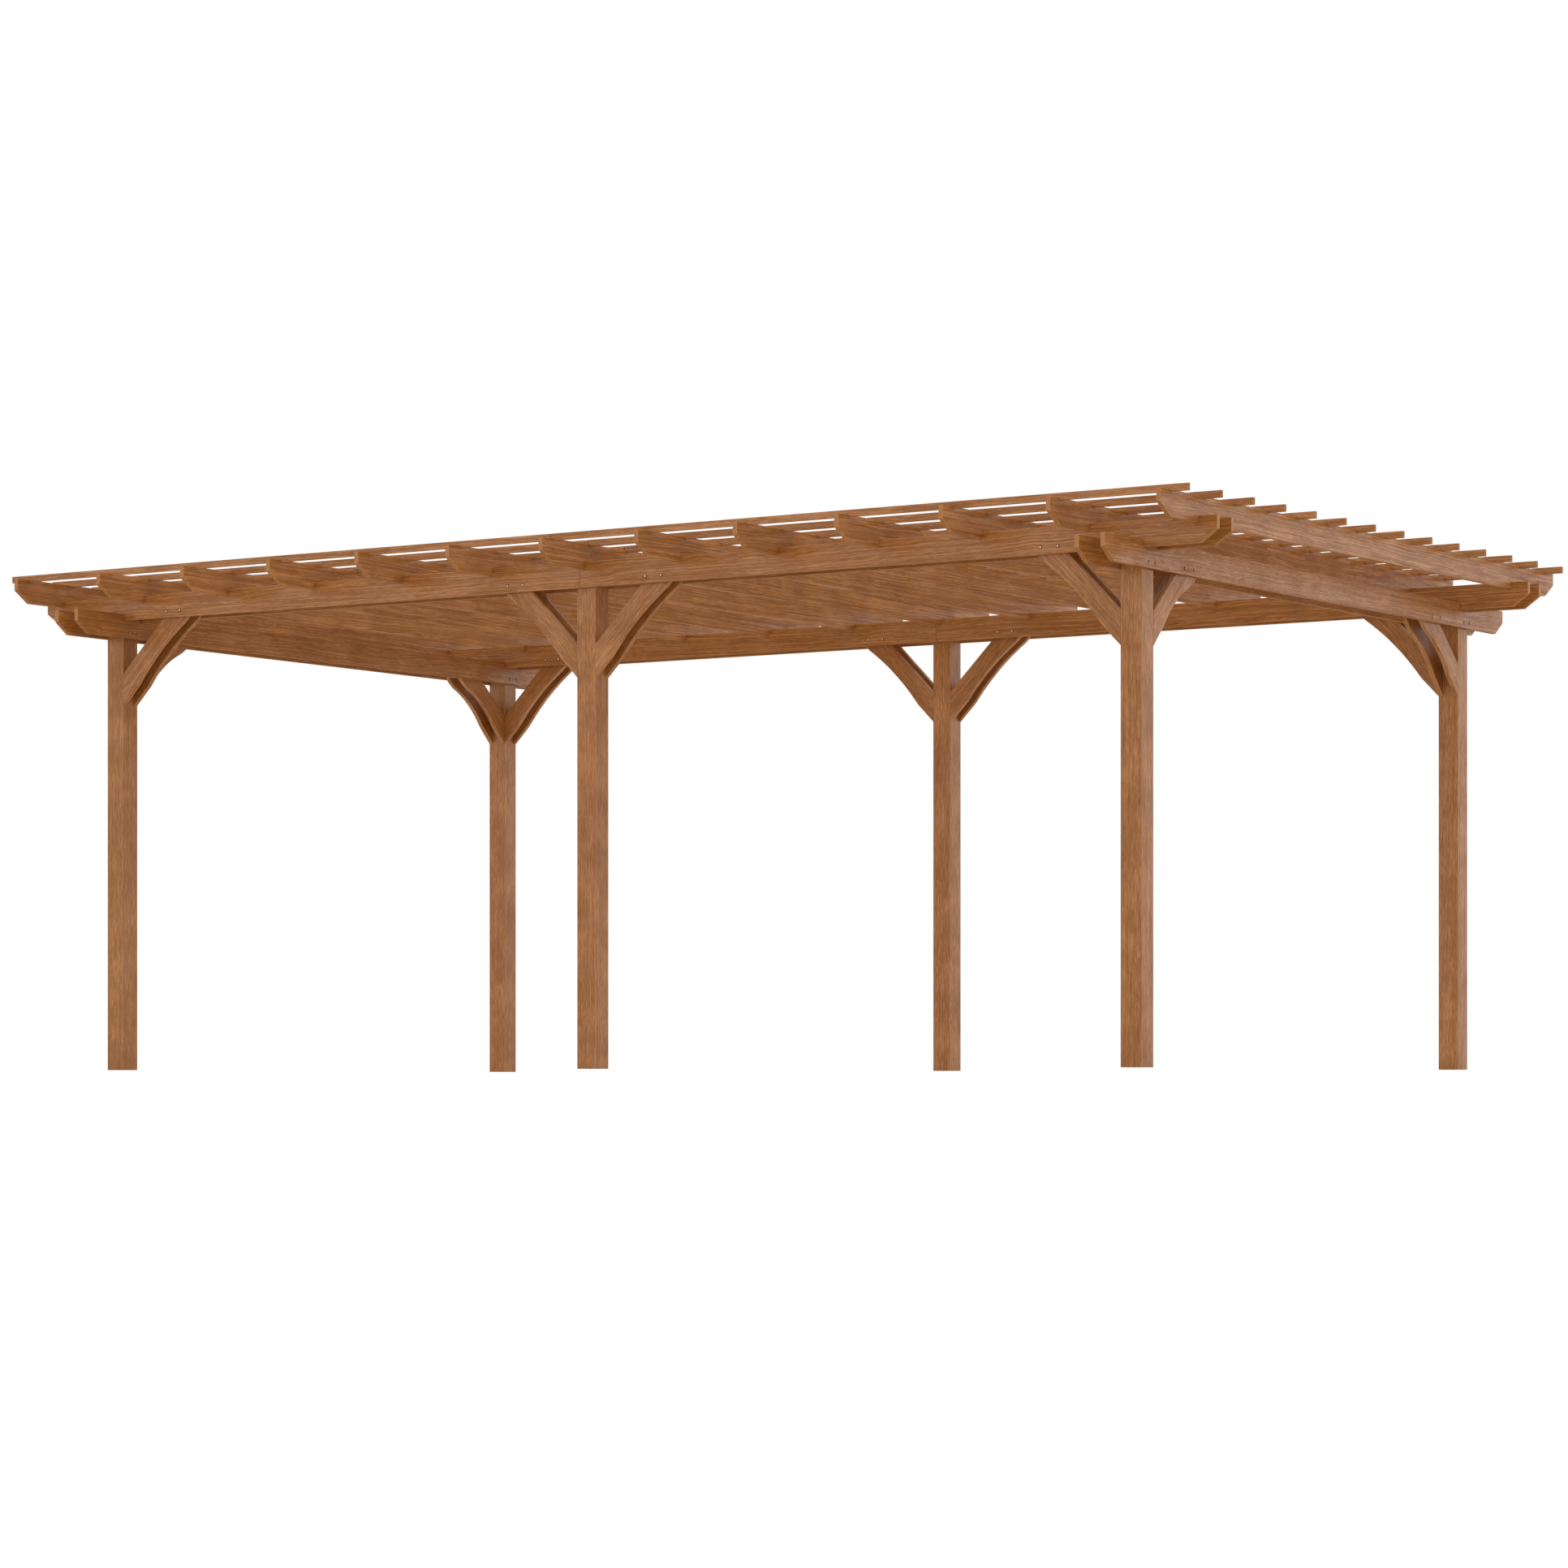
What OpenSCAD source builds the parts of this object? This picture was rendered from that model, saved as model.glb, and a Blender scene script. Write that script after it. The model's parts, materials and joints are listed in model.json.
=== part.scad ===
// Free-standing timber pergola: six posts, paired beams and girders, notched rafters and slats, S-curved knee braces.
// X runs along the length, Y from front to rear, Z up; the origin is on the ground in the middle of the plan.

/* [Layout] */
// Distance between neighbouring posts along the length, centre to centre
post_spacing = 2652; // [2000:1:3000]
// Distance between the front and rear rows of posts, centre to centre
row_spacing = 2874; // [2000:1:3400]
// Height of the underside of the end girders above the ground
girder_z = 1966; // [1800:1:2400]

/* [Posts] */
// Width of the square posts
post_w = 96; // [80:1:140]
// Gap between the top of a post and the rafters above it
post_top_gap = 10; // [2:1:40]

/* [Boards] */
// Thickness of the girders, beams, rafters and braces
board_t = 20; // [15:0.5:35]
// Height of the girders, beams and rafters
board_h = 108; // [90:1:160]
// Height of the sloping cut under each board tail
tail_rise = 53; // [20:1:80]
// Clearance on each side of a notch
fit_gap = 0.5; // [0.2:0.1:2]

/* [Girders] */
// Length of the end girders
girder_len = 3625; // [3400:1:4200]
// Length of the sloping cut under the girder tails
girder_tail_run = 75; // [30:1:150]

/* [Beams] */
// Length of the long beams
beam_len = 6096; // [5900:1:6800]
// Length of the sloping cut under the beam tails
beam_tail_run = 75; // [30:1:150]
// How far the beams are let down into the girders
beam_lap = 30; // [10:1:50]
// Place of the butt joint in each beam board, from the middle of the beam
beam_joint_x = -18; // [-40:1:40]
// Open width of the butt joint
beam_joint_gap = 2; // [0.5:0.5:6]

/* [Rafters] */
// Number of rafters
rafter_count = 13; // [9:2:17]
// Length of the rafters
rafter_len = 3625; // [3400:1:4200]
// Length of the sloping cut under the rafter tails
rafter_tail_run = 83; // [30:1:150]
// Distance from the end of the beams to the centre of the end rafters
rafter_inset = 90.5; // [50:0.5:200]
// How far the rafters are let down into the beams
rafter_lap = 30; // [10:1:50]

/* [Slats] */
// Number of slats across the rafters
slat_count = 14; // [8:1:18]
// Length of the slats, both halves together
slat_len = 6096; // [5900:1:6800]
// Width of a slat
slat_w = 16; // [12:1:40]
// Height of a slat
slat_h = 29; // [20:1:60]
// Distance from the end of the rafters to the centre of the end slats
slat_inset = 80; // [30:1:200]
// How far the slats are let down into the rafters
slat_lap = 10; // [5:1:18]
// Open width of the joint between the two halves of a slat
slat_joint_gap = 4; // [1:0.5:8]

/* [Braces] */
// Height from the foot of every brace up to the underside of the beams
brace_drop = 378; // [340:1:480]
// Height of the brace foot where it stands against the post
brace_foot = 138; // [100:1:180]
// Reach of the long braces from the post along the beam
brace_reach = 382; // [320:1:480]
// Width of the long braces at the underside of the beam
brace_head = 142; // [100:1:180]
// Reach of the end braces from the post along the girder
end_brace_reach = 354; // [320:1:440]
// Width of the end braces at the underside of the girder
end_brace_head = 169; // [120:1:220]
// Height of the brace heads that stand between the boards
brace_tongue = 60; // [20:1:75]
// Straight stretch of the lower edge above the foot
brace_tail = 106; // [60:1:130]
// Straight stretch of the lower edge below the head
brace_tip = 8; // [0:1:30]
// Height that the sloping tip runs on up between the boards above
brace_tip_up = 20; // [5:1:40]
// Radius of the shoulders where the straight stretches turn into the hollow
shoulder_r = 200; // [100:5:300]
// Radius of the hollow under the long braces
hollow_r = 1200; // [700:10:2000]
// Radius of the hollow under the end braces
end_hollow_r = 510; // [400:10:700]

/* [Hidden] */
POST_COLOUR = "#b08458";
GIRDER_COLOUR = "#9c6f47";
BEAM_COLOUR = "#a4774c";
RAFTER_COLOUR = "#94683f";
SLAT_COLOUR = "#a0713f";
BRACE_COLOUR = "#aa7d50";

// Flats in each round stretch of a brace's lower edge
SHOULDER_STEPS = 4;
HOLLOW_STEPS = 12;
// Overrun of a notch past the edge that it opens
CUT_OVER = 1;

ROWS = ["front", "rear"];
COLUMNS = ["left", "middle", "right"];
ENDS = ["left", "right"];
SIDES = ["outer", "inner"];
HALVES = ["left", "right"];
// Long braces: name, the post that carries it and the way it reaches along the beam
LONG_BRACES = [["left", 0, 1], ["middle_left", 1, -1], ["middle_right", 1, 1], ["right", 2, -1]];

// Heights of the undersides, each layer let down into the one below it
beam_z = girder_z + board_h - beam_lap;
rafter_z = beam_z + board_h - rafter_lap;
slat_z = rafter_z + board_h - slat_lap;
post_h = rafter_z - post_top_gap;
brace_foot_z = beam_z - brace_drop;
end_brace_drop = girder_z - brace_foot_z;

// Half of each overlap is cut from either board
beam_notch = beam_lap / 2;
rafter_notch = rafter_lap / 2;

// Boards in a pair lie against opposite faces of the posts
pair_offset = (post_w + board_t) / 2;
brace_offset = (post_w - board_t) / 2;

function post_x(column) = (column - 1) * post_spacing;
function row_y(row) = (row - 0.5) * row_spacing;
function outward(index) = index == 0 ? -1 : 1;
function end_x(end) = outward(end) * post_spacing;
function side_shift(side) = side == 0 ? pair_offset : -pair_offset;
function girder_x(end, side) = end_x(end) + outward(end) * side_shift(side);
function beam_y(row, side) = row_y(row) + outward(row) * side_shift(side);
function spread(index, count, reach) = reach * (2 * index / (count - 1) - 1);
function rafter_x(index) = spread(index, rafter_count, beam_len / 2 - rafter_inset);
function slat_y(index) = spread(index, slat_count, rafter_len / 2 - slat_inset);

girder_places = [for (end = [0:1], side = [0:1]) girder_x(end, side)];
beam_places = [for (row = [0:1], side = [0:1]) beam_y(row, side)];
rafter_places = [for (index = [0:rafter_count - 1]) rafter_x(index)];
slat_places = [for (index = [0:slat_count - 1]) slat_y(index)];
slat_joint_x = rafter_x(floor(rafter_count / 2));

function post_name(row, column) = str("post_", ROWS[row], "_", COLUMNS[column]);
function girder_name(end, side) = str("girder_", ENDS[end], "_", SIDES[side]);
function beam_name(row, side, half) = str("beam_", ROWS[row], "_", SIDES[side], "_", HALVES[half]);
function rafter_name(index) = str("rafter_", index < 9 ? "0" : "", index + 1);
function slats_name(half) = str("slats_", HALVES[half]);
function brace_name(row, brace) = str("brace_", ROWS[row], "_", LONG_BRACES[brace][0]);
function end_brace_name(row, end) = str("end_brace_", ROWS[row], "_", ENDS[end]);

// Stands a side view up as a board on edge along X or along Y
module along_x() {
    rotate([90, 0, 0]) linear_extrude(board_t, center = true) children();
}

module along_y() {
    rotate([90, 0, 90]) linear_extrude(board_t, center = true) children();
}

// Side view of a board with a square upper end and a sloping cut under each tail
module board_outline(length, tail_run) {
    polygon([
        [-length / 2, board_h],
        [-length / 2, tail_rise],
        [-length / 2 + tail_run, 0],
        [length / 2 - tail_run, 0],
        [length / 2, tail_rise],
        [length / 2, board_h]
    ]);
}

module notches(places, width, low, high) {
    for (place = places)
        translate([place - width / 2 - fit_gap, low]) square([width + 2 * fit_gap, high - low]);
}

module top_notches(places, width, depth) {
    notches(places, width, board_h - depth, board_h + CUT_OVER);
}

module bottom_notches(places, width, depth) {
    notches(places, width, -CUT_OVER, depth);
}

// One half of a long piece, up to the open joint
module half_span(half, length, joint_x, gap) {
    start = half == 0 ? -length / 2 : joint_x + gap / 2;
    stop = half == 0 ? joint_x - gap / 2 : length / 2;
    translate([start, 0]) square([stop - start, board_h]);
}

module post(row, column) {
    color(POST_COLOUR)
        translate([post_x(column) - post_w / 2, row_y(row) - post_w / 2, 0]) cube([post_w, post_w, post_h]);
}

module girder(end, side) {
    color(GIRDER_COLOUR) translate([girder_x(end, side), 0, girder_z]) along_y() difference() {
        board_outline(girder_len, girder_tail_run);
        top_notches(beam_places, board_t, beam_notch);
    }
}

module beam(row, side, half) {
    color(BEAM_COLOUR) translate([0, beam_y(row, side), beam_z]) along_x() difference() {
        intersection() {
            board_outline(beam_len, beam_tail_run);
            half_span(half, beam_len, beam_joint_x, beam_joint_gap);
        }
        bottom_notches(girder_places, board_t, beam_notch);
        top_notches(rafter_places, board_t, rafter_notch);
    }
}

module rafter(index) {
    color(RAFTER_COLOUR) translate([rafter_x(index), 0, rafter_z]) along_y() difference() {
        board_outline(rafter_len, rafter_tail_run);
        bottom_notches(beam_places, board_t, rafter_notch);
        top_notches(slat_places, slat_w, slat_lap);
    }
}

module slats(half) {
    start = half == 0 ? -slat_len / 2 : slat_joint_x + slat_joint_gap / 2;
    stop = half == 0 ? slat_joint_x - slat_joint_gap / 2 : slat_len / 2;
    color(SLAT_COLOUR)
        for (place = slat_places)
            translate([start, place - slat_w / 2, slat_z]) cube([stop - start, slat_w, slat_h]);
}

// Centre of the hollow, which touches the circles of both shoulders from the far side
function hollow_centre(low, high, radius) =
    let (half_span = (high - low) / 2, apart = shoulder_r + radius)
    low + half_span + sqrt(apart ^ 2 - norm(half_span) ^ 2) * [half_span.y, -half_span.x] / norm(half_span);

function angle_of(v) = atan2(v.y, v.x);

// Points of an arc about a centre, without its first point
function arc(centre, radius, first, last, steps) =
    let (from = angle_of(first - centre), to = angle_of(last - centre))
    [for (step = [1:steps]) let (a = from + (to - from) * step / steps) centre + radius * [cos(a), sin(a)]];

// Where the circles of a shoulder and the hollow touch
function turn_point(shoulder, hollow) = shoulder + (hollow - shoulder) * shoulder_r / norm(hollow - shoulder);

// Lower edge of a brace from its foot: straight, round over a shoulder, through the hollow and out the same way
function brace_lower_edge(reach, drop, radius) =
    let (
        uphill = [1, 1] / sqrt(2),
        inward = [-uphill.y, uphill.x],
        tail_end = brace_tail * uphill,
        far_end = [reach, drop],
        tip_start = far_end - brace_tip * uphill,
        low = tail_end + shoulder_r * inward,
        high = tip_start + shoulder_r * inward,
        hollow = hollow_centre(low, high, radius)
    )
    concat(
        [[0, 0], tail_end],
        arc(low, shoulder_r, tail_end, turn_point(low, hollow), SHOULDER_STEPS),
        arc(hollow, radius, turn_point(low, hollow), turn_point(high, hollow), HOLLOW_STEPS),
        arc(high, shoulder_r, turn_point(high, hollow), tip_start, SHOULDER_STEPS),
        [far_end + brace_tip_up * [1, 1]]
    );

// Two S-curved boards flush with the post's faces, with upright heads that stand between the boards above
module brace_pair(reach, head, drop, radius) {
    outline = concat(brace_lower_edge(reach, drop, radius), [
        [reach + brace_tip_up, drop + brace_tongue],
        [reach - head, drop + brace_tongue],
        [reach - head, drop],
        [0, brace_foot]
    ]);
    color(BRACE_COLOUR)
        for (side = [-1, 1])
            translate([0, side * brace_offset, 0]) along_x() polygon(outline);
}

module brace(row, brace) {
    column = LONG_BRACES[brace][1];
    way = LONG_BRACES[brace][2];
    translate([post_x(column) + way * post_w / 2, row_y(row), brace_foot_z])
        rotate([0, 0, way > 0 ? 0 : 180])
            brace_pair(brace_reach, brace_head, brace_drop, hollow_r);
}

module end_brace(row, end) {
    inward = -outward(row);
    translate([end_x(end), row_y(row) + inward * post_w / 2, brace_foot_z])
        rotate([0, 0, inward * 90])
            brace_pair(end_brace_reach, end_brace_head, end_brace_drop, end_hollow_r);
}

for (row = [0:1], column = [0:2])
    post(row, column);

for (end = [0:1], side = [0:1])
    girder(end, side);

for (row = [0:1], side = [0:1], half = [0:1])
    beam(row, side, half);

for (index = [0:rafter_count - 1])
    rafter(index);

for (half = [0:1])
    slats(half);

for (row = [0:1], brace = [0:3])
    brace(row, brace);

for (row = [0:1], end = [0:1])
    end_brace(row, end);
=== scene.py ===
"""Looks of a wooden pergola: stained boards with eased edges, bolt heads, floor, soft light and camera."""

import json
import math
import random

import bmesh
import bpy
from mathutils import Matrix, Vector

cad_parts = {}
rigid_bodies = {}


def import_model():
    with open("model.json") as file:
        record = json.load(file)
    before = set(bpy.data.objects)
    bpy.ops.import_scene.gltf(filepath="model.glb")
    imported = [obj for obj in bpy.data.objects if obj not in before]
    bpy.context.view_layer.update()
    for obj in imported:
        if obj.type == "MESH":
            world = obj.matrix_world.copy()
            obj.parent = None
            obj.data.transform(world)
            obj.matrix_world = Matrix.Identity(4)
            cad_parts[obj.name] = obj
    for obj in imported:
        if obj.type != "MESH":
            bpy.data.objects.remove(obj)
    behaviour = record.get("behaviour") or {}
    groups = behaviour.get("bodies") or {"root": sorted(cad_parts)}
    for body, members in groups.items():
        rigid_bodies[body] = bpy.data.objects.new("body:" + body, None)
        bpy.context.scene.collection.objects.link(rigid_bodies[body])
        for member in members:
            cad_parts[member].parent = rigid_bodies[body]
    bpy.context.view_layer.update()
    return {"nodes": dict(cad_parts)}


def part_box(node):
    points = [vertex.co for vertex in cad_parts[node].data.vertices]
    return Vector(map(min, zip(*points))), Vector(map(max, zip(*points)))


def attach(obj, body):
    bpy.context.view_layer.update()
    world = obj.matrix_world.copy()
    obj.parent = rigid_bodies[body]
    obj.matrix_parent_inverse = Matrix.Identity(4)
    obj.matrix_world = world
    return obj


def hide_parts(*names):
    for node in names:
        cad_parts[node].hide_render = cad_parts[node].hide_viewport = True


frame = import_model()

X = Vector((1, 0, 0))
Y = Vector((0, 1, 0))
Z = Vector((0, 0, 1))

# Merging of the CAD triangles, in metres and radians
MERGE_GAP = 0.00002
FLAT_ANGLE = math.radians(0.5)
SHARP_ANGLE = math.radians(25)
SMOOTH_ANGLE = math.radians(50)
LEVEL_GAP = 0.0003

# Eased edges, in metres, and the steps that round them
POST_EASE = 0.0025
BOARD_EASE = 0.0015
BRACE_EASE = 0.0008
SLAT_EASE = 0.0012
SEAM_EASE = 0.0005
EASE_STEPS = 2

# Stretches at the ends of the boards that hold their tails, in metres
GIRDER_TAIL = 0.076
BEAM_TAIL = 0.076
RAFTER_TAIL = 0.084

# How much thicker the brace boards look than the other boards, in metres
BRACE_SWELL = 0.002

# Each board's place in its log, in metres, its lean in metres a metre, and the seed of the draws
LOG_RUN = 30.0
HEART_ASIDE = 0.09
HEART_NEAR = 0.03
HEART_FAR = 0.12
HEART_LEAN = 0.016
SEAM_SLIP = Vector((0.004, 0.004, 0.006))
GRAIN_SEED = 31

# Which way a face or an edge points, as the cosine of its angle to an axis
ALONG_FACING = 0.999
SQUARE_FACING = 0.95
EASED_FACING = 0.1
UNDERSIDE_FACING = -0.3

# The cosine from which a face starts to be a cut end, and how fast it becomes a whole one
END_START = 0.3
END_GAIN = 1.9

# How much of the oil's sheen the narrow edges lack
POST_DRY = 0.0
BOARD_DRY = 0.6
BRACE_DRY = 0.3

BOARD_MARKS = (
    ("grain", "FLOAT_VECTOR", "POINT"),
    ("tone", "FLOAT", "POINT"),
    ("end_cut", "FLOAT", "FACE"),
    ("eased", "FLOAT", "FACE"),
    ("dry", "FLOAT", "FACE"),
    ("underside", "FLOAT", "FACE"),
)

# Bolt heads and their places from post centres and board undersides, in metres and radians
# The dark disc under each head is painted shade around the head's foot
SHADE_RING_RADIUS = 0.0072
SHADE_RING_THICK = 0.0008
SHADE_RING_GAP = 0.00003
HEAD_RADIUS = 0.0052
HEAD_RISE = 0.0042
HEAD_CROWN = math.radians(78)
HEAD_SMOOTH = math.radians(35)
HEAD_SIDES = 20
HEAD_RINGS = 4
BEAM_BOLTS = (0.322, 0.402)
BEAM_BOLT_UP = 0.0287
GIRDER_POST_BOLTS = (-0.027, 0.027)
GIRDER_BRACE_BOLTS = (0.270, 0.345)
GIRDER_BOLT_UP = 0.024

# Stain colours, in linear light
STAIN_DARK = (0.232, 0.0765, 0.0120)
STAIN_MIDDLE = (0.369, 0.1315, 0.0215)
STAIN_LIGHT = (0.680, 0.289, 0.0890)
STAIN_END = (0.500, 0.225, 0.0870, 1.0)
# A paler colour on the eased edges: painted highlight where the edges catch light
EDGE_HIGHLIGHT_COLOUR = (0.620, 0.290, 0.0950, 1.0)
PORE_COLOUR = (0.075, 0.026, 0.0080, 1.0)
STAIN_STOPS = [(0.1, STAIN_DARK), (0.5, STAIN_MIDDLE), (0.9, STAIN_LIGHT)]

# Figure of the wood: ripples in a metre along, aside and deep in the log
SWAY_RIPPLES = (0.8, 5.0, 5.0)
CURL_RIPPLES = (5.0, 12.0, 12.0)
CLOUD_RIPPLES = (6.0, 7.0, 7.0)
LINE_RIPPLES = (1.3, 130.0, 130.0)
FLECK_RIPPLES = (24.0, 230.0, 230.0)
FIBRE_RIPPLES = (9.0, 420.0, 420.0)
PORE_RIPPLES = (34.0, 1100.0, 1100.0)

# How far sway and curl bend the figure aside and deep, and the pitch of the growth rings, in metres
SWAY_ASIDE = 0.045
SWAY_DEEP = 0.03
CURL_ASIDE = 0.025
CURL_DEEP = 0.015
RING_PITCH = 0.0085
LATE_WOOD_STOPS = [
    (0.0, (0.0, 0.0, 0.0)),
    (0.45, (0.16, 0.16, 0.16)),
    (0.82, (1.0, 1.0, 1.0)),
    (1.0, (0.0, 0.0, 0.0)),
]
LATE_WOOD_MEAN = 0.4

# Shares of the figure's parts in the shade, the roughness, the sheen and the relief of every board
FIBRE_SHADE = 0.35
RING_SHADE = 0.1
TONE_SHADE = 0.02
PORE_START = 0.63
PORE_GAIN = 9.0
PORE_BLEND = 0.1
PORE_SHADE = 0.35
# How much painted highlight the eased edges get, on average and along the long lines
EDGE_HIGHLIGHT_MEAN = 0.7
EDGE_HIGHLIGHT_LINES = 0.6
WOOD_ROUGHNESS = 0.62
FIBRE_ROUGHNESS = 0.25
END_ROUGHNESS = 0.2
PORE_ROUGHNESS = 0.1
WOOD_SPECULAR = 0.2
OIL_SHEEN = 0.8
FIGURE_SHEEN = 1.8
OIL_ROUGHNESS = 0.3
FIBRE_RELIEF = 0.5
RING_RELIEF = 0.35
PORE_RELIEF = 0.6
RELIEF_STRENGTH = 0.35
RELIEF_DEPTH = 0.0007

# Plated steel: dull and bright colours and roughness, and its stains and scuffs in a metre
BEAM_PLATING = ((0.70, 0.50, 0.33), (0.94, 0.73, 0.53), 0.32)
# The girder bolts' plating is a darker copy of the beam bolts' plating: painted shade
GIRDER_PLATING_PAINTED_SHADE = ((0.34, 0.22, 0.13), (0.60, 0.43, 0.28), 0.42)
# The dark colours of the disc under each bolt head: painted shade
SHADE_RING_COLOURS = ((0.07, 0.035, 0.017), (0.15, 0.078, 0.038), 0.55)
PLATE_STAINS = (240.0, 240.0, 240.0)
PLATE_SCUFFS = (900.0, 900.0, 900.0)
DULL_STOP = 0.3
BRIGHT_STOP = 0.6
SCUFF_ROUGHNESS = 0.25
SCUFF_STRENGTH = 0.2
SCUFF_DEPTH = 0.0002

# Floor and light
FLOOR_SIZE = 120.0
FLOOR_DROP = 0.001
FLOOR_COLOUR = (0.72, 0.72, 0.71, 1.0)
FLOOR_ROUGHNESS = 0.9
BACKDROP_COLOUR = (1.0, 1.0, 1.0, 1.0)
LIGHT_COLOUR = (1.0, 0.985, 0.965, 1.0)
HORIZON_LIGHT = 1.15
ZENITH_LIGHT = 0.70

# The photograph's camera, level and just under the ground line: pixels, metres, radians, sensor in mm
PHOTO_SIDE = 1932
PRINCIPAL_POINT = (1018.4, 1340.4)
FOCAL_PIXELS = 5759.0
CAMERA_PLACE = (11.7088, -17.5649, -0.081)
CAMERA_TURN = 0.578
CAMERA_REACH = 500.0
SENSOR_WIDTH = 36.0


# Selecting and editing

def select_only(*pieces):
    bpy.ops.object.select_all(action="DESELECT")
    for piece in pieces:
        piece.select_set(True)
    bpy.context.view_layer.objects.active = pieces[0]


def enter_edit(piece):
    select_only(piece)
    bpy.ops.object.mode_set(mode="EDIT")
    bpy.ops.mesh.select_mode(type="EDGE")
    bpy.ops.mesh.select_all(action="SELECT")


def leave_edit():
    bpy.ops.object.mode_set(mode="OBJECT")


def apply_modifier(piece, kind, **settings):
    select_only(piece)
    made = piece.modifiers.new(kind.lower(), kind)
    for key, value in settings.items():
        setattr(made, key, value)
    bpy.ops.object.modifier_apply(modifier=made.name)


def linked(name, mesh):
    piece = bpy.data.objects.new(name, mesh)
    bpy.context.scene.collection.objects.link(piece)
    return piece


def joined(pieces, name):
    select_only(*pieces)
    if len(pieces) > 1:
        bpy.ops.object.join()
    pieces[0].name = name
    pieces[0].data.name = name
    return pieces[0]


def nodes_named(start):
    return sorted(name for name in frame["nodes"] if name.startswith(start))


# Boards

def whole_copy(node):
    """A copy of a CAD node whose loose triangles are merged into whole flat faces."""
    piece = linked(node + "_wood", frame["nodes"][node].data.copy())
    piece.data.materials.clear()
    enter_edit(piece)
    bpy.ops.mesh.customdata_custom_splitnormals_clear()
    bpy.ops.mesh.remove_doubles(threshold=MERGE_GAP)
    bpy.ops.mesh.dissolve_limited(angle_limit=FLAT_ANGLE)
    leave_edit()
    return piece


def separate_boards(piece):
    """The boards of a piece that don't touch, each as its own object."""
    before = set(bpy.data.objects)
    enter_edit(piece)
    bpy.ops.mesh.separate(type="LOOSE")
    leave_edit()
    return [piece] + [other for other in bpy.data.objects if other not in before]


def ease_edges(board, wanted, size):
    """Rounds over the sharp outer edges that wanted() picks by their two ends."""
    enter_edit(board)
    bpy.ops.mesh.select_all(action="DESELECT")
    mesh = bmesh.from_edit_mesh(board.data)
    for edge in mesh.edges:
        if not edge.is_convex or edge.calc_face_angle(0) < SHARP_ANGLE:
            continue
        if wanted(edge.verts[0].co, edge.verts[1].co):
            edge.select_set(True)
    mesh.select_flush_mode()
    bmesh.update_edit_mesh(board.data)
    bpy.ops.mesh.bevel(offset=size, segments=EASE_STEPS, profile=0.5, affect="EDGES", clamp_overlap=True)
    leave_edit()


def cut_in_two(board, along):
    """The two lengths that a board is made of, butted in the middle with a hairline joint."""
    def at_joint(a, b):
        return max(abs(a.dot(along)), abs(b.dot(along))) < LEVEL_GAP

    other = linked(board.name + "_far", board.data.copy())
    for half, near_side in ((board, True), (other, False)):
        enter_edit(half)
        bpy.ops.mesh.bisect(
            plane_co=(0, 0, 0), plane_no=along, use_fill=True,
            clear_inner=near_side, clear_outer=not near_side,
        )
        leave_edit()
        ease_edges(half, at_joint, SEAM_EASE)
    return [board, other]


def lies_along(a, b, axis):
    return abs((b - a).normalized().dot(axis)) > ALONG_FACING


def tailed_edges(board, along, half_length, tail):
    """Picks the long edges at the top and bottom of a board and all the edges of its tails."""
    heights = [vertex.co.z for vertex in board.data.vertices]
    levels = (min(heights), max(heights))

    def wanted(a, b):
        in_tail = min(abs(a.dot(along)), abs(b.dot(along))) > half_length - tail
        level = any(max(abs(a.z - z), abs(b.z - z)) < LEVEL_GAP for z in levels)
        return in_tail or (level and lies_along(a, b, along))

    return wanted


def box_middle(board):
    corners = [Vector(corner) for corner in board.bound_box]
    return sum(corners, Vector()) / len(corners)


def log_place(draw):
    """A board's place in a log: shifts along, aside and deep, leans aside and deep, and a tone."""
    return (
        draw.uniform(-LOG_RUN, LOG_RUN),
        draw.uniform(-HEART_ASIDE, HEART_ASIDE),
        draw.uniform(HEART_NEAR, HEART_FAR) * draw.choice((-1, 1)),
        draw.uniform(-HEART_LEAN, HEART_LEAN),
        draw.uniform(-HEART_LEAN, HEART_LEAN),
        draw.uniform(-1, 1),
    )


def lay_grain(board, along, thin, middle, place, edge_dry):
    """Gives a board its grain from a place in a log, and marks its cut ends, edges and underside."""
    mesh = board.data
    across = thin.cross(along)
    run_shift, aside, deep, lean_aside, lean_deep, board_tone = place
    for name, kind, domain in BOARD_MARKS:
        mesh.attributes.new(name, kind, domain)
    grain, tone, end_cut, eased, dry, underside = (mesh.attributes[mark[0]].data for mark in BOARD_MARKS)
    for vertex in mesh.vertices:
        offset = vertex.co - middle
        run = offset.dot(along)
        grain[vertex.index].vector = (
            run + run_shift,
            offset.dot(across) + aside + lean_aside * run,
            offset.dot(thin) + deep + lean_deep * run,
        )
        tone[vertex.index].value = board_tone
    for face in mesh.polygons:
        across_end = abs(face.normal.dot(along))
        across_face = abs(face.normal.dot(thin))
        end_cut[face.index].value = min(max(END_GAIN * (across_end - END_START), 0.0), 1.0)
        eased[face.index].value = 1.0 if EASED_FACING < across_face < SQUARE_FACING else 0.0
        if face.normal.z < UNDERSIDE_FACING:
            underside[face.index].value = 1.0
        elif max(across_face, across_end) < SQUARE_FACING:
            dry[face.index].value = edge_dry


def finished(node, boards, finish):
    """Joins a node's boards into the piece that stands for it."""
    piece = joined(boards, node + "_wood")
    bpy.ops.object.shade_smooth_by_angle(angle=SMOOTH_ANGLE)
    apply_modifier(piece, "WEIGHTED_NORMAL", keep_sharp=True)
    piece.data.materials.append(finish)
    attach(piece, "root")
    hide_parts(node)


def make_posts(finish, draw):
    for node in nodes_named("post_"):
        post = whole_copy(node)
        ease_edges(post, lambda a, b: lies_along(a, b, Z), POST_EASE)
        lay_grain(post, Z, X, box_middle(post), log_place(draw), POST_DRY)
        finished(node, [post], finish)


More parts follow.
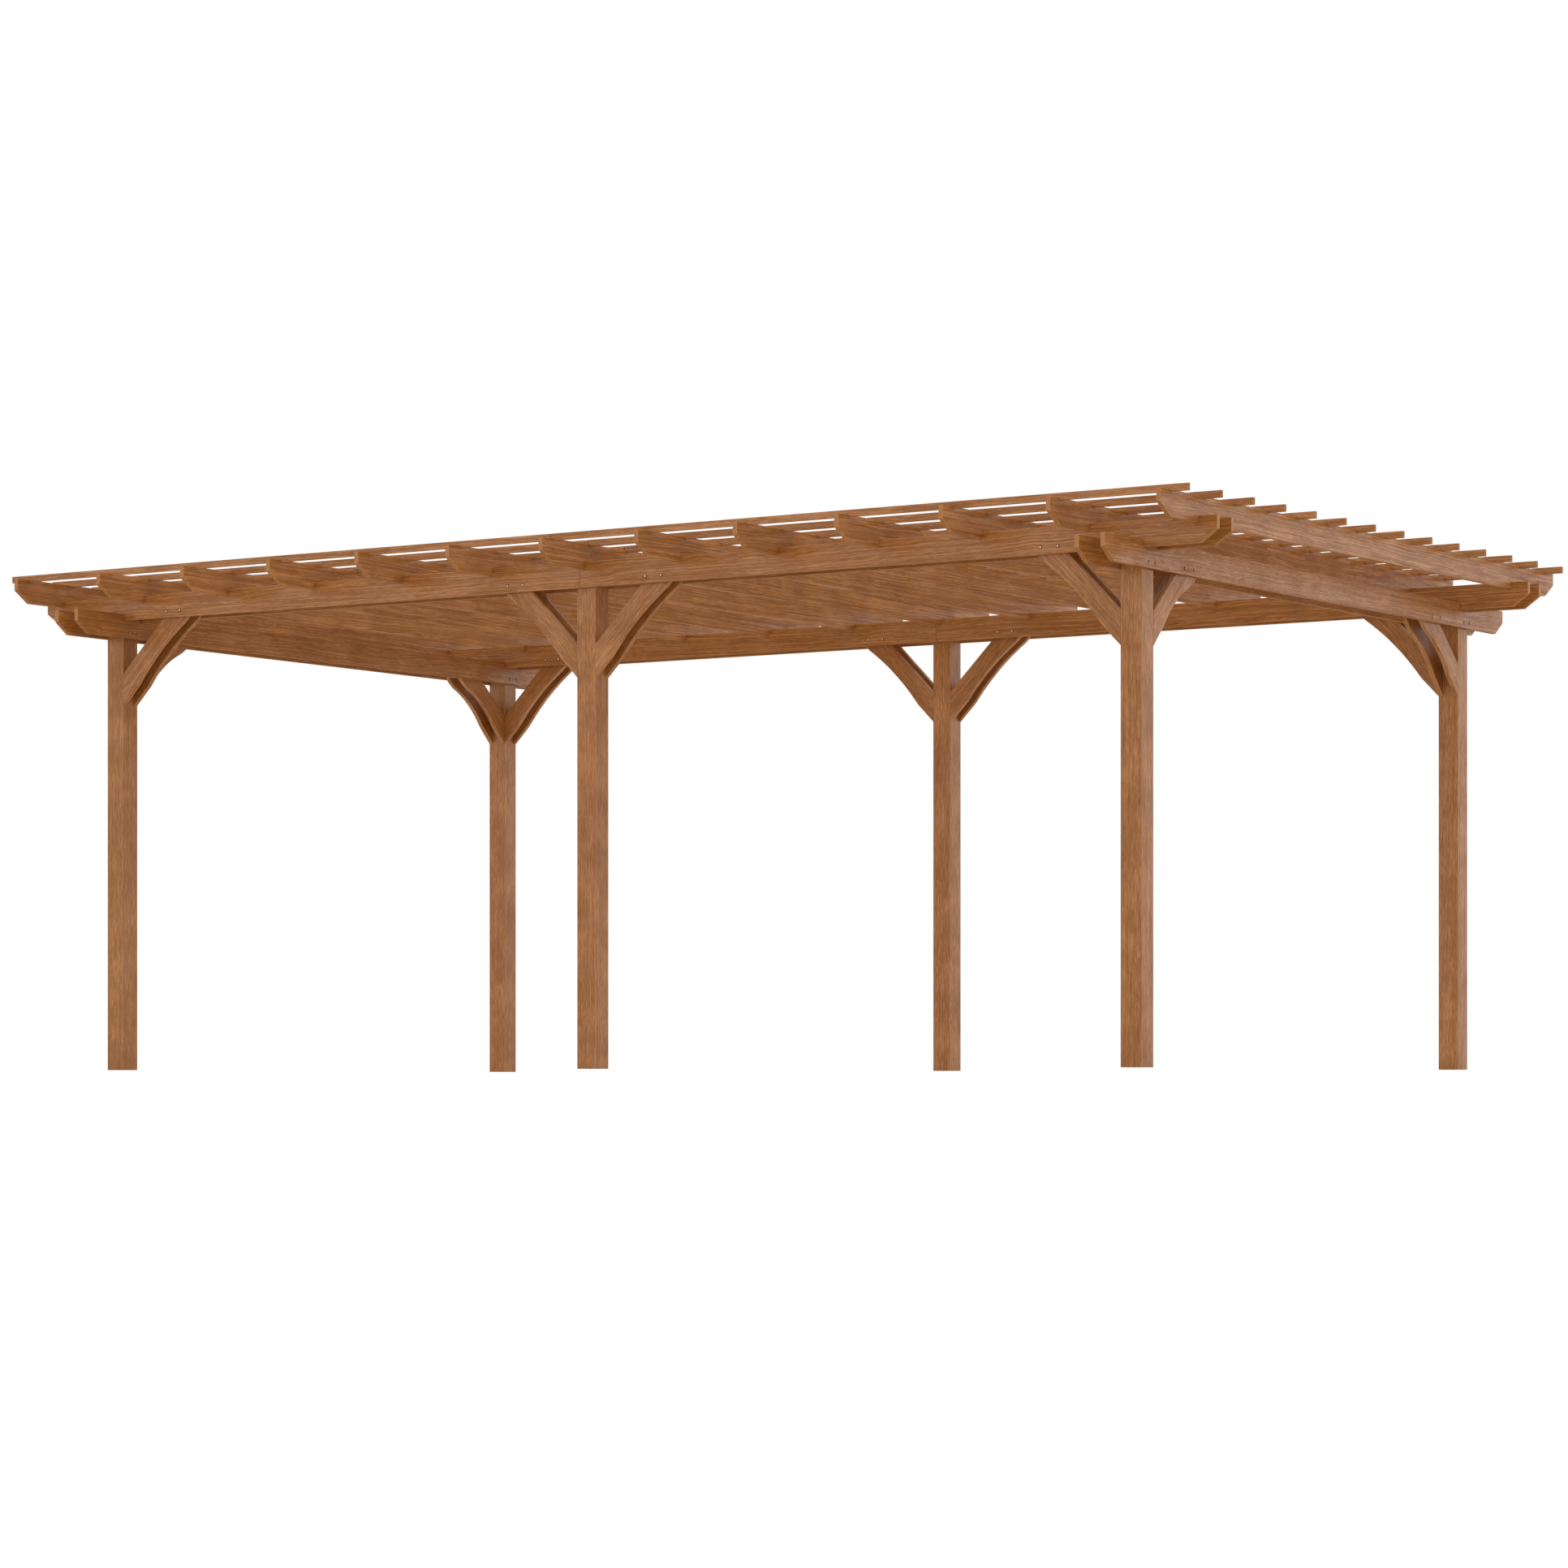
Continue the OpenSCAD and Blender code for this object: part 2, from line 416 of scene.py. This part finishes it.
def make_tailed_boards(start, along, thin, tail, in_two, finish, draw):
    """Boards on edge with sloping tails, whole or with a hairline joint in the middle."""
    for node in nodes_named(start):
        low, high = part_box(node)
        board = whole_copy(node)
        half_length = max(abs(low.dot(along)), abs(high.dot(along)))
        ease_edges(board, tailed_edges(board, along, half_length, tail), BOARD_EASE)
        boards = cut_in_two(board, along) if in_two else [board]
        middle = (low + high) / 2
        place = log_place(draw)
        for index, length in enumerate(boards):
            lay_grain(length, along, thin, middle + index * SEAM_SLIP, place, BOARD_DRY)
        finished(node, boards, finish)


def make_slats(finish, draw):
    for node in nodes_named("slats_"):
        slats = separate_boards(whole_copy(node))
        for slat in slats:
            ease_edges(slat, lambda a, b: True, SLAT_EASE)
            lay_grain(slat, X, Y, box_middle(slat), log_place(draw), BOARD_DRY)
        finished(node, slats, finish)


def swell_inward(board, thin, middle):
    """Sets a brace board's inner face a little further in, towards the middle of its pair."""
    offsets = [(vertex.co - middle).dot(thin) for vertex in board.data.vertices]
    nearest = min(offsets, key=abs)
    for vertex, offset in zip(board.data.vertices, offsets):
        if abs(offset - nearest) < LEVEL_GAP:
            vertex.co -= math.copysign(BRACE_SWELL, nearest) * thin


def brace_slope(board, along_axis):
    """The way a brace rises from its foot, which is the end that holds its lowest point."""
    lowest = min((vertex.co for vertex in board.data.vertices), key=lambda place: place.z)
    way = 1 if (box_middle(board) - lowest).dot(along_axis) > 0 else -1
    return (way * along_axis + Z).normalized()


def make_braces(start, along_axis, thin, hidden_z, finish, draw):
    """Pairs of brace boards, eased below the height from which the boards above hide them."""
    def in_view(a, b):
        return not lies_along(a, b, Z) and max(a.z, b.z) < hidden_z

    for node in nodes_named(start):
        low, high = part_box(node)
        boards = separate_boards(whole_copy(node))
        for board in boards:
            swell_inward(board, thin, (low + high) / 2)
            ease_edges(board, in_view, BRACE_EASE)
            slope = brace_slope(board, along_axis)
            lay_grain(board, slope, thin, box_middle(board), log_place(draw), BRACE_DRY)
        finished(node, boards, finish)


# Bolts

def bolt_head(head_finish, shade_ring_finish):
    """A domed bolt head on a dark disc of painted shade around its foot, on the ground plane and pointing
    up.
    """
    bpy.ops.object.select_all(action="DESELECT")
    bpy.ops.mesh.primitive_circle_add(vertices=HEAD_SIDES, radius=SHADE_RING_RADIUS, fill_type="NGON")
    head = bpy.context.object
    head.name = "bolt_head"
    bpy.ops.object.mode_set(mode="EDIT")
    bpy.ops.mesh.select_mode(type="FACE")
    bpy.ops.mesh.select_all(action="SELECT")
    bpy.ops.mesh.extrude_region_move(TRANSFORM_OT_translate={"value": (0, 0, SHADE_RING_THICK)})
    bpy.ops.mesh.inset(thickness=SHADE_RING_RADIUS - HEAD_RADIUS)
    radius = HEAD_RADIUS
    height = 0.0
    for ring in range(1, HEAD_RINGS + 1):
        angle = ring / HEAD_RINGS * HEAD_CROWN
        next_radius = HEAD_RADIUS * math.cos(angle)
        next_height = HEAD_RISE * math.sin(angle)
        bpy.ops.mesh.extrude_region_move(TRANSFORM_OT_translate={"value": (0, 0, next_height - height)})
        bpy.ops.transform.resize(value=(next_radius / radius, next_radius / radius, 1))
        radius = next_radius
        height = next_height
    bpy.ops.mesh.select_all(action="SELECT")
    bpy.ops.mesh.normals_make_consistent(inside=False)
    leave_edit()
    bpy.ops.object.shade_smooth_by_angle(angle=HEAD_SMOOTH)
    head.data.materials.append(head_finish)
    head.data.materials.append(shade_ring_finish)
    # The disc around the head's foot takes the dark painted shade
    for face in head.data.polygons:
        face.material_index = 0 if face.center.z > SHADE_RING_THICK + SHADE_RING_GAP else 1
    return head


def put_bolts(name, head, places):
    """Copies of a bolt head at the places given, each a point and the way it points, as one piece."""
    copies = []
    for point, facing in places:
        turn = facing.to_track_quat("Z", "Y").to_matrix().to_4x4()
        copy = linked("bolt_copy", head.data.copy())
        copy.data.transform(Matrix.Translation(point) @ turn)
        copies.append(copy)
    piece = joined(copies, name)
    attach(piece, "root")


def post_centre(row, column):
    low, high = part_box(f"post_{row}_{column}")
    return (low + high) / 2


def beam_bolts(row, side):
    """Places of the bolts that hold the long braces, on the open face of a beam board."""
    low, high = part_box(f"beam_{row}_{side}_left")
    faces_rear = (row == "rear") == (side == "outer")
    face = high.y if faces_rear else low.y
    facing = Y if faces_rear else -Y
    reaches = {"left": (1,), "middle": (-1, 1), "right": (-1,)}
    return [
        (Vector((post_centre(row, column).x + way * along, face, low.z + BEAM_BOLT_UP)), facing)
        for column, ways in reaches.items()
        for way in ways
        for along in BEAM_BOLTS
    ]


def girder_bolts(end, side):
    """Places of the bolts at the posts and at the end braces, on the open face of a girder board."""
    low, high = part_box(f"girder_{end}_{side}")
    faces_right = (end == "right") == (side == "outer")
    face = high.x if faces_right else low.x
    facing = X if faces_right else -X
    places = []
    for row, inward in (("front", 1), ("rear", -1)):
        centre = post_centre(row, end)
        for along in GIRDER_POST_BOLTS + GIRDER_BRACE_BOLTS:
            places.append((Vector((face, centre.y + inward * along, low.z + GIRDER_BOLT_UP)), facing))
    return places


def make_bolts(beam_finish, girder_finish, shade_ring_finish):
    beam_head = bolt_head(beam_finish, shade_ring_finish)
    girder_head = bolt_head(girder_finish, shade_ring_finish)
    for side in ("outer", "inner"):
        for row in ("front", "rear"):
            put_bolts(f"bolts_beam_{row}_{side}", beam_head, beam_bolts(row, side))
        for end in ("left", "right"):
            put_bolts(f"bolts_girder_{end}_{side}", girder_head, girder_bolts(end, side))
    bpy.data.objects.remove(beam_head)
    bpy.data.objects.remove(girder_head)


# Finishes

class Value:
    """A number on a surface: an expression on it adds the Math nodes that work it out."""

    def __init__(self, nodes, socket):
        self.nodes = nodes
        self.socket = socket

    def __add__(self, other):
        return self.nodes.maths("ADD", self, other)

    def __sub__(self, other):
        return self.nodes.maths("SUBTRACT", self, other)

    def __rsub__(self, other):
        return self.nodes.maths("SUBTRACT", other, self)

    def __mul__(self, other):
        return self.nodes.maths("MULTIPLY", self, other)

    def __truediv__(self, other):
        return self.nodes.maths("DIVIDE", self, other)

    def __rtruediv__(self, other):
        return self.nodes.maths("DIVIDE", other, self)

    def __pow__(self, other):
        return self.nodes.maths("POWER", self, other)

    __radd__ = __add__
    __rmul__ = __mul__


class Nodes:
    """The nodes of a finish or of the light, added by expressions on values and by node()."""

    def __init__(self, tree):
        self.tree = tree

    def node(self, kind, settings, sockets):
        """Adds a node: its settings are set first, then the values or links of its sockets."""
        made = self.tree.nodes.new(kind)
        for key, value in settings.items():
            if key == "stops":
                self.set_stops(made.color_ramp.elements, value)
            else:
                setattr(made, key, value)
        for key, value in sockets.items():
            self.feed(made.inputs[key], value)
        return made

    def set_stops(self, elements, stops):
        while len(elements) < len(stops):
            elements.new(1.0)
        for element, (place, colour) in zip(elements, stops):
            element.position = place
            element.color = (*colour, 1.0)

    def feed(self, socket, value):
        source = value.socket if isinstance(value, Value) else value
        if isinstance(source, bpy.types.NodeSocket):
            self.tree.links.new(source, socket)
        else:
            socket.default_value = source

    def maths(self, operation, *values):
        made = self.node("ShaderNodeMath", {"operation": operation}, dict(enumerate(values)))
        return Value(self, made.outputs[0])


class Finish(Nodes):
    """A material on the nodes of its shader."""

    def __init__(self, name):
        self.material = bpy.data.materials.new(name)
        self.material.use_nodes = True
        super().__init__(self.material.node_tree)
        self.shader = self.tree.nodes["Principled BSDF"]

    def attribute(self, name):
        return self.node("ShaderNodeAttribute", {"attribute_name": name}, {})

    def number(self, name):
        return Value(self, self.attribute(name).outputs["Fac"])

    def stretched(self, place, stretch):
        made = self.node("ShaderNodeVectorMath", {"operation": "MULTIPLY"}, {0: place, 1: stretch})
        return made.outputs[0]

    def noise(self, place, stretch, detail=2.0, roughness=0.5):
        where = self.stretched(place, stretch)
        sockets = {"Vector": where, "Scale": 1.0, "Detail": detail, "Roughness": roughness}
        return Value(self, self.node("ShaderNodeTexNoise", {}, sockets).outputs[0])

    def swing(self, place, stretch, detail=2.0, roughness=0.5):
        """Noise that swings about zero."""
        return self.noise(place, stretch, detail, roughness) - 0.5

    def ramp(self, value, stops):
        return self.node("ShaderNodeValToRGB", {"stops": stops}, {0: value}).outputs[0]

    def mixed(self, share, first, second):
        settings = {"data_type": "RGBA"}
        return self.node("ShaderNodeMix", settings, {0: share, 6: first, 7: second}).outputs[2]

    def bump(self, height, strength, distance):
        sockets = {"Height": height, "Strength": strength, "Distance": distance}
        return self.node("ShaderNodeBump", {}, sockets).outputs[0]

    def finish_with(self, **sockets):
        for key, value in sockets.items():
            self.feed(self.shader.inputs[key.replace("_", " ")], value)
        return self.material


def stained_wood(
    name, tone_shift, cloud_share, line_share, fleck_share,
    end_share=0.7, end_dry=0.4, edge_highlight_share=1.0, underside_painted_light=0.0, under_dry=1.0,
):
    """Stained wood: short flecks that lean with the figure, long lines, faint rings, fibres and pores."""
    wood = Finish(name)
    grain = wood.attribute("grain").outputs["Vector"]
    parts = wood.node("ShaderNodeSeparateXYZ", {}, {0: grain})
    run = Value(wood, parts.outputs[0])
    aside = Value(wood, parts.outputs[1])
    deep = Value(wood, parts.outputs[2])
    end_cut = wood.number("end_cut")
    eased = wood.number("eased")
    dry = wood.number("dry")
    underside = wood.number("underside")
    tone = wood.number("tone")

    sway = wood.swing(grain, SWAY_RIPPLES)
    curl = wood.swing(grain, CURL_RIPPLES)
    bent_aside = aside + sway * SWAY_ASIDE + curl * CURL_ASIDE
    bent_deep = deep + sway * SWAY_DEEP + curl * CURL_DEEP
    bent = wood.node("ShaderNodeCombineXYZ", {}, {0: run, 1: bent_aside, 2: bent_deep}).outputs[0]
    from_heart = (bent_aside * bent_aside + bent_deep * bent_deep) ** 0.5
    ring_place = wood.maths("FRACT", from_heart / RING_PITCH)
    late_wood = Value(wood, wood.ramp(ring_place, LATE_WOOD_STOPS))
    clouds = wood.swing(grain, CLOUD_RIPPLES)
    lines = wood.swing(bent, LINE_RIPPLES)
    flecks = wood.swing(bent, FLECK_RIPPLES, roughness=0.55)
    fibres = wood.swing(grain, FIBRE_RIPPLES, detail=4.0, roughness=0.6)
    open_pores = (wood.noise(grain, PORE_RIPPLES) - PORE_START) * PORE_GAIN
    pores = wood.maths("SMOOTH_MIN", 1.0, wood.maths("MAXIMUM", open_pores, 0.0), PORE_BLEND)

    figure = clouds * cloud_share + lines * line_share + flecks * fleck_share
    figure = figure + fibres * FIBRE_SHADE - (late_wood - LATE_WOOD_MEAN) * RING_SHADE
    # Undersides get a lighter shade of stain: painted light from below
    shade = figure + tone * TONE_SHADE + underside * underside_painted_light + (0.5 + tone_shift)
    # Eased edges turn paler: painted highlight along the edges, broken up by the long lines
    edge_highlight = eased * (lines * EDGE_HIGHLIGHT_LINES + EDGE_HIGHLIGHT_MEAN) * edge_highlight_share
    colour = wood.ramp(shade, STAIN_STOPS)
    colour = wood.mixed(end_cut * end_share, colour, STAIN_END)
    colour = wood.mixed(edge_highlight, colour, EDGE_HIGHLIGHT_COLOUR)
    colour = wood.mixed(pores * PORE_SHADE, colour, PORE_COLOUR)

    roughness = fibres * FIBRE_ROUGHNESS + end_cut * END_ROUGHNESS + pores * PORE_ROUGHNESS + WOOD_ROUGHNESS
    oiled = figure * FIGURE_SHEEN + OIL_SHEEN - end_cut * end_dry - dry - underside * under_dry
    sheen = wood.maths("MINIMUM", wood.maths("MAXIMUM", oiled, 0.0), 1.0)
    relief = fibres * FIBRE_RELIEF - late_wood * RING_RELIEF - pores * PORE_RELIEF
    return wood.finish_with(
        Base_Color=colour,
        Roughness=roughness,
        Specular_IOR_Level=WOOD_SPECULAR,
        Coat_Weight=sheen,
        Coat_Roughness=OIL_ROUGHNESS,
        Normal=wood.bump(relief, RELIEF_STRENGTH, RELIEF_DEPTH),
    )


def plated_metal(name, dull, bright, roughness):
    """Plated steel, unevenly dulled and lightly scuffed."""
    metal = Finish(name)
    place = metal.node("ShaderNodeTexCoord", {}, {}).outputs["Object"]
    stain = metal.noise(place, PLATE_STAINS, detail=3.0)
    scuffs = metal.swing(place, PLATE_SCUFFS)
    return metal.finish_with(
        Base_Color=metal.ramp(stain, [(DULL_STOP, dull), (BRIGHT_STOP, bright)]),
        Metallic=1.0,
        Roughness=scuffs * SCUFF_ROUGHNESS + roughness,
        Normal=metal.bump(scuffs, SCUFF_STRENGTH, SCUFF_DEPTH),
    )


# Stage

def pale_floor():
    """A plain pale floor, which the low camera sees through from underneath."""
    bpy.ops.object.select_all(action="DESELECT")
    bpy.ops.mesh.primitive_plane_add(size=FLOOR_SIZE, location=(0, 0, -FLOOR_DROP))
    floor = bpy.context.object
    floor.name = "floor"
    bpy.ops.object.transform_apply(location=True)
    finish = Finish("pale_floor")
    finish.finish_with(Base_Color=FLOOR_COLOUR, Roughness=FLOOR_ROUGHNESS)
    below = finish.node("ShaderNodeNewGeometry", {}, {}).outputs["Backfacing"]
    clear = finish.node("ShaderNodeBsdfTransparent", {}, {}).outputs[0]
    sockets = {0: below, 1: finish.shader.outputs[0], 2: clear}
    shown = finish.node("ShaderNodeMixShader", {}, sockets).outputs[0]
    finish.feed(finish.tree.nodes["Material Output"].inputs["Surface"], shown)
    floor.data.materials.append(finish.material)


def soft_light():
    """A white studio: plain white behind, and light that is stronger near the horizon than above."""
    world = bpy.data.worlds.new("studio")
    bpy.context.scene.world = world
    world.use_nodes = True
    studio = Nodes(world.node_tree)
    backdrop = world.node_tree.nodes["Background"]
    studio.feed(backdrop.inputs["Color"], BACKDROP_COLOUR)
    studio.feed(backdrop.inputs["Strength"], 1.0)
    way = studio.node("ShaderNodeTexCoord", {}, {}).outputs["Generated"]
    height = studio.node("ShaderNodeSeparateXYZ", {}, {0: way}).outputs["Z"]
    fade = {"Value": height, "To Min": HORIZON_LIGHT, "To Max": ZENITH_LIGHT}
    strength = studio.node("ShaderNodeMapRange", {}, fade).outputs[0]
    glow = {"Color": LIGHT_COLOUR, "Strength": strength}
    light = studio.node("ShaderNodeBackground", {}, glow).outputs[0]
    seen = studio.node("ShaderNodeLightPath", {}, {}).outputs["Is Camera Ray"]
    shown = studio.node("ShaderNodeMixShader", {}, {0: seen, 1: light, 2: backdrop.outputs[0]})
    studio.feed(world.node_tree.nodes["World Output"].inputs["Surface"], shown.outputs[0])


def photo_camera():
    data = bpy.data.cameras.new("camera")
    camera = linked("camera", data)
    bpy.context.scene.camera = camera
    data.sensor_width = SENSOR_WIDTH
    data.lens = FOCAL_PIXELS / PHOTO_SIDE * SENSOR_WIDTH
    data.shift_x = (PHOTO_SIDE / 2 - PRINCIPAL_POINT[0]) / PHOTO_SIDE
    data.shift_y = (PRINCIPAL_POINT[1] - PHOTO_SIDE / 2) / PHOTO_SIDE
    data.clip_end = CAMERA_REACH
    camera.location = CAMERA_PLACE
    camera.rotation_euler = (math.pi / 2, 0.0, CAMERA_TURN)


# The pergola

photo_camera()
draw = random.Random(GRAIN_SEED)
beam_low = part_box("beam_front_outer_left")[0].z
girder_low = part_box("girder_left_outer")[0].z

post_stain = stained_wood(
    "post_stain", tone_shift=0.02, cloud_share=0.45, line_share=0.35, fleck_share=0.65, edge_highlight_share=0.4
)
girder_stain = stained_wood(
    "girder_stain", tone_shift=0.0, cloud_share=0.45, line_share=0.7, fleck_share=0.6, edge_highlight_share=0.6
)
beam_stain = stained_wood(
    "beam_stain", tone_shift=0.03, cloud_share=0.2, line_share=0.75, fleck_share=0.55, end_dry=0.1
)
rafter_stain = stained_wood(
    "rafter_stain", tone_shift=0.0, cloud_share=0.4, line_share=0.9, fleck_share=0.45,
    underside_painted_light=0.1, under_dry=0.8,
)
slat_stain = stained_wood(
    "slat_stain", tone_shift=0.0, cloud_share=0.4, line_share=0.7, fleck_share=0.6, end_share=0.0
)
brace_stain = stained_wood(
    "brace_stain", tone_shift=0.0, cloud_share=0.4, line_share=0.6, fleck_share=0.7,
    underside_painted_light=0.14, under_dry=0.25,
)

make_posts(post_stain, draw)
make_tailed_boards("girder_", Y, X, GIRDER_TAIL, True, girder_stain, draw)
make_tailed_boards("beam_", X, Y, BEAM_TAIL, False, beam_stain, draw)
make_tailed_boards("rafter_", Y, X, RAFTER_TAIL, True, rafter_stain, draw)
make_slats(slat_stain, draw)
make_braces("brace_", X, Y, beam_low, brace_stain, draw)
make_braces("end_brace_", Y, X, girder_low, brace_stain, draw)
make_bolts(
    plated_metal("bright_plating", *BEAM_PLATING),
    plated_metal("dull_plating", *GIRDER_PLATING_PAINTED_SHADE),
    plated_metal("washer_plating", *SHADE_RING_COLOURS),
)

pale_floor()
soft_light()
bpy.context.scene.view_settings.view_transform = "Standard"
